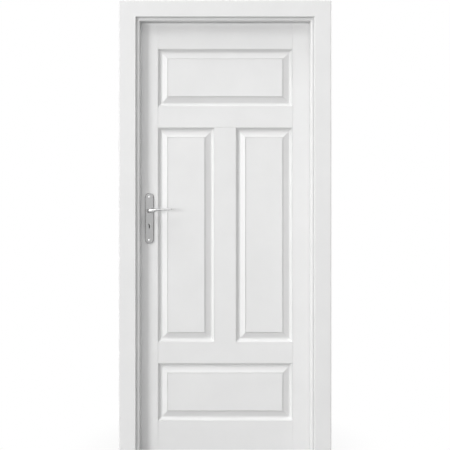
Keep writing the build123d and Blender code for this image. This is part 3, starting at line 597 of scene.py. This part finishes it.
def screw_rings(places, way, length, head, shank, countersink, rim, dome):
    """Rings of like screws (screw, station, around): a head that bulges by the dome inside its rim,
    the countersink, the shank and the point. A cross is sunk in the head, as deep as the greater of
    two bars. Each screw is turned its own way."""
    centre_radius, point_radius, point_length, raised_rim = 0.05, 0.3, 3.0, 0.3
    rim_under, head_under = 0.01, 0.06
    reach_share, half_share, recess_share = 0.6, 0.14, 0.4
    first_turn, next_turn = 0.6, 2.4
    top = np.linspace(centre_radius, rim, 24)
    radius = np.concatenate([top, [rim, min(rim, head), shank, shank, point_radius]])
    bulge = -dome * (1 - (top / rim) ** 2) - (raised_rim if dome else 0.0)
    body = [rim_under, head_under, countersink, length - point_length, length]
    along = np.concatenate([bulge, body])
    around = np.linspace(0, 2 * np.pi, 72, endpoint=False)
    u, v = radius[:, None] * np.cos(around), radius[:, None] * np.sin(around)
    reach, half = reach_share * head, half_share * head
    cross = np.maximum(soft_bar(u, v, reach, half), soft_bar(v, u, reach, half))
    in_head = (np.arange(len(radius)) < len(top))[:, None]
    depth = along[:, None] + recess_share * head * in_head * cross
    way = np.array(way, float)
    side = np.array((0.0, 0.0, 1.0))
    across = np.cross(side, way)
    turned = (first_turn + next_turn * np.arange(len(places)))[:, None, None]
    first = u * np.cos(turned) - v * np.sin(turned)
    second = u * np.sin(turned) + v * np.cos(turned)
    centre = np.array(places, float)[:, None, None]
    return centre + first[..., None] * across + second[..., None] * side + depth[..., None] * way


# Countersunk wood screws hold the hinge plates and the strike plate, flush with their faces.
wood_screw = dict(length=15.0, head=4.0, shank=2.0, countersink=2.0, rim=3.95, dome=0.0)
frame_seat, strike_heights = 415.0, (1065.5, 1207.5)
hinge_heights, hole_pitch, end_hole_y, middle_hole_y = (275.0, 1049.5, 1824.0), 34.0, 1.5, 6.5
hole_rows = ((-hole_pitch, end_hole_y), (0.0, middle_hole_y), (hole_pitch, end_hole_y))
hinge_holes = [(y, height + step) for height in hinge_heights for step, y in hole_rows]
frame_rings = screw_rings([(frame_seat, *hole) for hole in hinge_holes], (1, 0, 0), **wood_screw)
skinned(
    "hinge_frame_screws_driven",
    frame_rings,
    hinge_zinc,
    "hinge_steel",
    "frame",
    "hinge_frame_screws",
)
leaf_rings = screw_rings([(leaf_half, *hole) for hole in hinge_holes], (-1, 0, 0), **wood_screw)
skinned(
    "hinge_leaf_screws_driven",
    leaf_rings,
    hinge_zinc,
    "hinge_steel",
    "leaf",
    "hinge_leaf_screws",
)
strike_holes = [(-frame_seat, leaf_middle, height) for height in strike_heights]
strike_rings = screw_rings(strike_holes, (-1, 0, 0), **wood_screw)
skinned(
    "strike_screws_driven",
    strike_rings,
    hinge_zinc,
    "hinge_steel",
    "frame",
    "strike_screws",
)

# ---------------------------------------------------------------------------
# Mortise lock
# A steel case in the edge of the latch stile behind its rounded forend plate, with
# a sprung latch, a dead bolt, and the follower that the spindle turns.
# ---------------------------------------------------------------------------
lock_plate = brushed_metal(
    "lock_steel", (0.36, 0.36, 0.36), (0.48, 0.48, 0.47), (4, 4, 0.2), 0.3, 0.45
)
wear(
    lock_plate,
    "lock_forend",
    "lock_case",
    "lock_cover",
    "lock_follower",
    "latch_bolt",
    "dead_bolt",
    "follower_spring",
    "lever_spindle",
    "lever_grub_screws",
)


def bowed_strip(start, end, seat, bow, thick, wide):
    """Rings of a flat spring: a rectangle of the strip's thickness and width carried along X,
    rising between its two ends as a parabola of that bow."""
    share = np.linspace(0, 1, 48)[:, None]
    x = start + (end - start) * share
    z = seat + 4 * bow * share * (1 - share) + np.array([[0.0, 0.0, -thick, -thick]])
    y = leaf_middle + wide / 2 * np.array([[-1.0, 1.0, 1.0, -1.0]])
    return np.stack([np.broadcast_to(x, z.shape), np.broadcast_to(y, z.shape), z], axis=2)


# The latch's spring bears on the back of the case. The real one shortens as the latch is drawn in,
# but here it is built at rest only.
spring_start, spring_end, spring_seat, latch_travel = -361.25, -338.8, 1169.0, 12.3
spring_rings = bowed_strip(spring_start, spring_end, spring_seat, bow=6.0, thick=0.6, wide=6.0)
spring = skinned(
    "latch_spring_bowed",
    spring_rings,
    lock_plate,
    "lock_steel",
    "leaf",
    "latch_spring",
)
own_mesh(spring)

forend_heights = (1005.5, 1215.5)
forend_holes = [(-leaf_half, leaf_middle, height) for height in forend_heights]
forend_rings = screw_rings(forend_holes, (1, 0, 0), **wood_screw)
skinned(
    "forend_screws_driven",
    forend_rings,
    lock_plate,
    "hinge_steel",
    "leaf",
    "forend_screws",
)

# ---------------------------------------------------------------------------
# Back plates and their bolts
# Long plates of satin anodised aluminium on both faces of the leaf, drawn together
# by two bolts with raised heads that run into sleeve nuts.
# ---------------------------------------------------------------------------
plate_satin = brushed_metal(
    "satin_plate", (0.2, 0.2, 0.2), (0.24, 0.24, 0.24), (6, 6, 0.08), 0.36, 0.46
)
wear(plate_satin, "front_back_plate", "rear_back_plate")
bolt_satin = brushed_metal(
    "satin_bolt", (0.5, 0.5, 0.5), (0.6, 0.6, 0.6), (3, 3, 3), 0.22, 0.32
)
plate_thick, bolt_heights = 7.0, (1008.0, 1214.0)
bolt_head = dict(head=4.5, countersink=2.5, rim=5.4, dome=1.1)
bolt_holes = [(spindle_x, leaf_front - plate_thick, height) for height in bolt_heights]
bolt_rings = screw_rings(bolt_holes, (0, 1, 0), length=39.0, shank=2.0, **bolt_head)
skinned(
    "plate_bolts_driven",
    bolt_rings,
    bolt_satin,
    "satin_aluminium",
    "leaf",
    "plate_bolts",
)
nut_holes = [(spindle_x, leaf_rear + plate_thick, height) for height in bolt_heights]
nut_rings = screw_rings(nut_holes, (0, -1, 0), length=31.0, shank=3.4, **bolt_head)
skinned(
    "sleeve_nuts_driven",
    nut_rings,
    bolt_satin,
    "satin_aluminium",
    "leaf",
    "sleeve_nuts",
)

# ---------------------------------------------------------------------------
# Lever bushes
# Flanged rings of grey nylon, seated in the plates, that carry the necks of the
# levers.
# ---------------------------------------------------------------------------


def nylon(name):
    """Grey moulded nylon: slightly mottled, with a soft sheen."""
    finish, graph, shader, place = new_finish(name)
    mottle = noise(graph, place, (1, 1, 1), 220.0, 3.0, 0.5)
    tint(graph, shader, mottle, (0.40, 0.40, 0.40), (0.48, 0.48, 0.48))
    dull(graph, shader, mottle, 0.42, 0.55)
    relief(graph, shader, mottle, 0.00002)
    return finish


wear(nylon("grey_nylon"), "front_lever_bush", "rear_lever_bush")

# ---------------------------------------------------------------------------
# Levers
# Cast aluminium handles: a round neck, a bent elbow, and a slim grip that rises a
# little and waves along its length, brushed satin.
# ---------------------------------------------------------------------------
neck_radius, bend_radius, lever_reach, projection = 8.5, 14.0, 112.0, 58.0
neck_rise, neck_sunk, bush_face = 3.5, 1.0, -29.0
grip_rise, rise_span = 6.5, (10, 48)
wave_dip, dip_start, dip_length = 1.2, 45, 60
tip_rise, tip_rise_span, tip_length, tip_least = 0.6, (85, lever_reach), 4.0, 0.0004
grip_wide, wide_span, wide_loss = 6.4, (12, 55), 0.9
grip_tall, tall_span, tall_loss = 4.4, (8, 46), 0.5
loss_span = (60, lever_reach)
lever_satin = brushed_metal(
    "satin_lever", (0.52, 0.52, 0.52), (0.6, 0.6, 0.6), (0.1, 6, 6), 0.24, 0.34
)


def lever_rings():
    """Rings of a lever: ellipses square to a path that runs out of the plate, round the elbow and
    along the grip. The neck rises a little past the bush, width and height thin out after the
    elbow, and the tip closes as half an ellipsoid."""
    bend_y = leaf_front - projection + neck_radius + bend_radius
    neck_y = np.linspace(leaf_front - neck_sunk, bend_y, 12)
    turn = np.linspace(0, np.pi / 2, 24)[1:]
    grip = np.linspace(bend_radius, lever_reach, 70)[1:]
    tip = np.sin(np.linspace(0, np.pi / 2, 12))[1:]
    before_tip = grip - tip_length * (grip - bend_radius) / (lever_reach - bend_radius)
    along_grip = np.concatenate([before_tip, lever_reach - tip_length + tip_length * tip])
    closing = np.sqrt(np.maximum(1 - tip**2, tip_least))
    rounding = np.concatenate([np.ones_like(grip), closing])
    dip = np.sin(np.clip((along_grip - dip_start) / dip_length, 0, 1) * np.pi)
    wave = grip_rise * smooth_step(along_grip, *rise_span) - wave_dip * dip
    wave += tip_rise * smooth_step(along_grip, *tip_rise_span)
    wide = neck_radius - (neck_radius - grip_wide) * smooth_step(along_grip, *wide_span)
    wide -= wide_loss * smooth_step(along_grip, *loss_span)
    tall = neck_radius - (neck_radius - grip_tall) * smooth_step(along_grip, *tall_span)
    tall -= tall_loss * smooth_step(along_grip, *loss_span)
    grip_y = np.full_like(along_grip, bend_y - bend_radius)
    x = np.concatenate([np.zeros_like(neck_y), bend_radius * (1 - np.cos(turn)), along_grip])
    y = np.concatenate([neck_y, bend_y - bend_radius * np.sin(turn), grip_y])
    lean = np.concatenate([np.zeros_like(neck_y), turn, np.full_like(along_grip, np.pi / 2)])
    round_part = np.full(len(neck_y) + len(turn), neck_radius)
    lift = np.concatenate([np.zeros_like(round_part), wave])
    lift += neck_rise * smooth_step(-y, -bush_face, -bend_y)
    half_wide = np.concatenate([round_part, wide * rounding])
    half_tall = np.concatenate([round_part, tall * rounding])
    around = np.linspace(0, 2 * np.pi, 48, endpoint=False)[None]
    out = half_wide[:, None] * np.cos(around)
    up = half_tall[:, None] * np.sin(around)
    points_x = spindle_x + x[:, None] - out * np.cos(lean)[:, None]
    points_y = y[:, None] - out * np.sin(lean)[:, None]
    points_z = spindle_height + lift[:, None] + up
    return np.stack([points_x, points_y, points_z], axis=2)


front_rings = lever_rings()
rear_rings = front_rings * (1, -1, 1) + (0, 2 * leaf_middle, 0)
skinned("front_lever_cast", front_rings, lever_satin, "satin_aluminium", "lever", "front_lever")
skinned("rear_lever_cast", rear_rings, lever_satin, "satin_aluminium", "lever", "rear_lever")

# ---------------------------------------------------------------------------
# Backdrop and floor
# A white studio: the backdrop and the pale floor show white to the camera, and give
# the object little light of their own.
# ---------------------------------------------------------------------------
scene = bpy.context.scene
scene.view_settings.view_transform = "Standard"


def seen_directly(graph):
    """One where a ray comes from the camera, straight, by reflection or through glass, and zero
    elsewhere."""
    path = graph.nodes.new("ShaderNodeLightPath")
    seen, output = path, "Is Camera Ray"
    for kind in ("Is Glossy Ray", "Is Transmission Ray"):
        either = graph.nodes.new("ShaderNodeMath")
        either.operation = "MAXIMUM"
        link(graph, seen, output, either, 0)
        link(graph, path, kind, either, 1)
        seen, output = either, 0
    return seen


def mixed(graph, share, unseen, seen, surface):
    """Shows one shader where the share is zero and the other where it is one."""
    pick = graph.nodes.new("ShaderNodeMixShader")
    link(graph, share, 0, pick, "Fac")
    link(graph, unseen, 0, pick, 1)
    link(graph, seen, 0, pick, 2)
    link(graph, pick, 0, graph.nodes[surface], "Surface")


world = bpy.data.worlds.new("studio")
scene.world = world
world.use_nodes = True
graph = world.node_tree
dim = graph.nodes["Background"]
dim.inputs["Color"].default_value = (1, 1, 1, 1)
dim.inputs["Strength"].default_value = 0.02
white = graph.nodes.new("ShaderNodeBackground")
white.inputs["Color"].default_value = (1, 1, 1, 1)
white.inputs["Strength"].default_value = 1.0
mixed(graph, seen_directly(graph), dim, white, "World Output")

floor_half = 30.0
corners = np.array([(-1, -1, 0), (1, -1, 0), (1, 1, 0), (-1, 1, 0)]) * floor_half
floor_mesh = bpy.data.meshes.new("studio_floor")
floor_mesh.from_pydata(corners.tolist(), [], [(0, 1, 2, 3)])
floor = bpy.data.objects.new("studio_floor", floor_mesh)
scene.collection.objects.link(floor)
floor_paint, graph, shader, place = new_finish("pale_floor")
shader.inputs["Base Color"].default_value = (0.2, 0.2, 0.2, 1)
shader.inputs["Roughness"].default_value = 0.9
glow = graph.nodes.new("ShaderNodeEmission")
glow.inputs["Color"].default_value = (1, 1, 1, 1)
glow.inputs["Strength"].default_value = 1.0
away = graph.nodes.new("ShaderNodeVectorMath")
away.operation = "LENGTH"
link(graph, place, "Object", away, 0)
fade = graph.nodes.new("ShaderNodeMapRange")
fade.interpolation_type = "SMOOTHSTEP"
fade.inputs["From Min"].default_value = 0.45
fade.inputs["From Max"].default_value = 0.8
fade.inputs["To Min"].default_value = 0.93
fade.inputs["To Max"].default_value = 1.0
link(graph, away, "Value", fade, "Value")
share = graph.nodes.new("ShaderNodeMath")
share.operation = "MULTIPLY"
link(graph, seen_directly(graph), 0, share, 0)
link(graph, fade, "Result", share, 1)
mixed(graph, share, shader, glow, "Material Output")
floor_mesh.materials.append(floor_paint)

# ---------------------------------------------------------------------------
# Lamps
# Large soft area lamps: three from the left and above, a wide one in front and one
# from the right light the front face, and two light the rear face.
# ---------------------------------------------------------------------------
lamp_distance, aim_height = 22.0, 1.1


def soft_lamp(name, side, up, wide, tall, power):
    """A rectangular area lamp on a sphere round the object's middle, looking at it: side is the
    angle from straight in front, to the right, and up the angle above the level."""
    light = bpy.data.lights.new(name, "AREA")
    light.shape = "RECTANGLE"
    light.size = wide
    light.size_y = tall
    light.energy = power
    lamp = bpy.data.objects.new(name, light)
    scene.collection.objects.link(lamp)
    turn, rise = np.radians(side), np.radians(up)
    level = lamp_distance * np.cos(rise)
    height = aim_height + lamp_distance * np.sin(rise)
    lamp.location = (level * np.sin(turn), -level * np.cos(turn), height)
    lamp.rotation_euler = (np.pi / 2 - rise, 0, turn)


soft_lamp("left_lamp", -45, 5, 6.3, 5.3, 1655)
soft_lamp("left_high_lamp", -45, 43, 6.3, 7.1, 1383)
soft_lamp("side_high_lamp", -70, 62, 9.4, 7.9, 2840)
soft_lamp("front_lamp", -4, 4, 22.0, 3.6, 1309)
soft_lamp("right_lamp", 38, 42, 7.9, 11.8, 1037)
soft_lamp("rear_lamp", 140, 20, 7.9, 7.9, 3200)
soft_lamp("rear_high_lamp", -150, 45, 7.9, 7.9, 1976)

# ---------------------------------------------------------------------------
# Camera
# Square on to the front face, with the picture shifted instead of the camera tilted,
# so that uprights stay upright. Shifts are in pixels of the picture.
# ---------------------------------------------------------------------------
picture_pixels, shift_across, shift_up = 450, -17, -54
sensor_width, eye_distance, view_width = 36.0, 4.15, 2.117
eye_x, eye_height, nearest_y = 0.0796, 1.337, -0.0795
sight = bpy.data.cameras.new("photo_camera")
sight.sensor_width = sensor_width
sight.lens = sensor_width * eye_distance / view_width
sight.shift_x = shift_across / picture_pixels
sight.shift_y = shift_up / picture_pixels
camera = bpy.data.objects.new("photo_camera", sight)
camera.location = (eye_x, nearest_y - eye_distance, eye_height)
camera.rotation_euler = (np.pi / 2, 0, 0)
scene.collection.objects.link(camera)
scene.camera = camera
